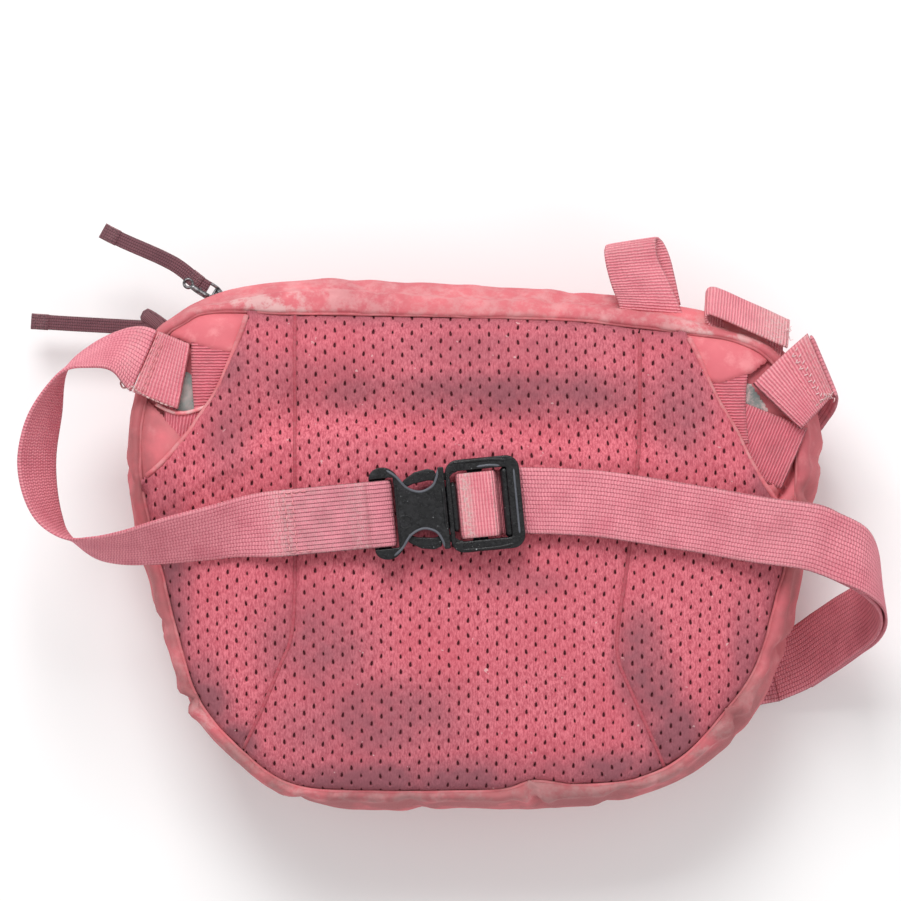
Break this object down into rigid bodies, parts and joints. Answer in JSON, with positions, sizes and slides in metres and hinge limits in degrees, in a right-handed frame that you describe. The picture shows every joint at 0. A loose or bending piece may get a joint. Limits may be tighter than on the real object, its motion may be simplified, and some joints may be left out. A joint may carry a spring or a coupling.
{
  "type": "waist pack",
  "caption": "Soft waist pack lying on its front, with a padded mesh back panel, zipped compartments, webbing belt, side-release buckle, haul loop and lash loop.",
  "frame": {"origin": "on the floor, under the middle of the pack, at the flat middle of its front panel", "axes": "+Z out of the back panel, +Y to the top edge with the zips, +X to the pack's right in back view, along the belt"},
  "size_m": [0.3294, 0.224, 0.0923],
  "materials": {
    "shell_fabric": "plain woven polyester, faded, creased",
    "back_mesh": "knitted spacer mesh with small open holes",
    "foam": "closed-cell foam",
    "lining": "smooth coated lining",
    "binding": "folded edge binding",
    "webbing": "ribbed polyester webbing, worn at the folds",
    "buckle_plastic": "moulded acetal, scuffed",
    "zip_tape": "woven zip tape",
    "zip_coil": "nylon coil",
    "zip_metal": "cast zinc, worn",
    "pull_tape": "maroon woven tape, stitched tip"
  },
  "bodies": {
    "pack": {"front_panel": "shell_fabric", "gusset": "shell_fabric", "compartment_divider": "lining", "back_lining": "lining", "back_foam_pad": "foam", "back_mesh_center": "back_mesh", "back_mesh_left": "back_mesh", "back_mesh_right": "back_mesh", "corner_wing_left": "shell_fabric", "corner_wing_right": "shell_fabric", "sleeve_lining_left": "lining", "sleeve_lining_right": "lining", "back_piping": "binding", "main_zip_tape": "zip_tape", "main_zip_coil": "zip_coil", "front_zip_tape": "zip_tape", "front_zip_coil": "zip_coil", "zip_end_tab": "pull_tape", "yoke_left": "webbing", "yoke_left_lower": "webbing", "yoke_right": "webbing", "yoke_right_lower": "webbing", "belt_left_end": "webbing", "belt_right_end": "webbing", "belt_left": "webbing", "belt_left_buckle_fold": "webbing", "buckle_female": "buckle_plastic", "belt_right": "webbing", "belt_right_tail": "webbing", "belt_right_under": "webbing", "haul_loop": "webbing", "lash_loop": "webbing"},
    "buckle_male": {"buckle_male": "buckle_plastic", "belt_right_loop": "webbing"},
    "prong_upper": {"prong_upper": "buckle_plastic"},
    "prong_lower": {"prong_lower": "buckle_plastic"},
    "main_slider": {"main_zip_slider": "zip_metal"},
    "main_pull": {"main_pull_link": "zip_metal", "main_pull_tape": "pull_tape"},
    "front_slider": {"front_zip_slider": "zip_metal"},
    "front_pull": {"front_pull_link": "zip_metal", "front_pull_tape": "pull_tape"}
  },
  "joints": [
    {"name": "buckle_release", "type": "slide", "parent": "pack", "child": "buckle_male", "axis": [0.9954, 0.0958, 0], "range_m": [0, 0.024], "deforming": ["prong_upper", "prong_lower", "belt_right", "belt_right_tail"]},
    {"name": "prong_upper_squeeze", "type": "hinge", "parent": "buckle_male", "child": "prong_upper", "pos_m": [-0.00619, 0.02891, 0.0825], "axis": [0, 0, 1], "range_deg": [0, 12], "stiffness_Nm_per_rad": 0.8},
    {"name": "prong_lower_squeeze", "type": "hinge", "parent": "buckle_male", "child": "prong_lower", "pos_m": [-0.00345, 0.00044, 0.0825], "axis": [0, 0, -1], "range_deg": [0, 12], "stiffness_Nm_per_rad": 0.8},
    {"name": "main_zip_run", "type": "slide", "parent": "pack", "child": "main_slider", "axis": [0.9998, -0.0217, 0], "range_m": [0, 0.168]},
    {"name": "main_pull_swing", "type": "hinge", "parent": "main_slider", "child": "main_pull", "pos_m": [-0.09287, 0.09365, 0.04], "axis": [0, 0, 1], "range_deg": [-130, 24]},
    {"name": "front_zip_run", "type": "slide", "parent": "pack", "child": "front_slider", "axis": [1, 0, 0], "range_m": [0, 0.15]},
    {"name": "front_pull_swing", "type": "hinge", "parent": "front_slider", "child": "front_pull", "pos_m": [-0.091, 0.0816, 0.018], "axis": [0, 0, 1], "range_deg": [-150, 2]}
  ]
}
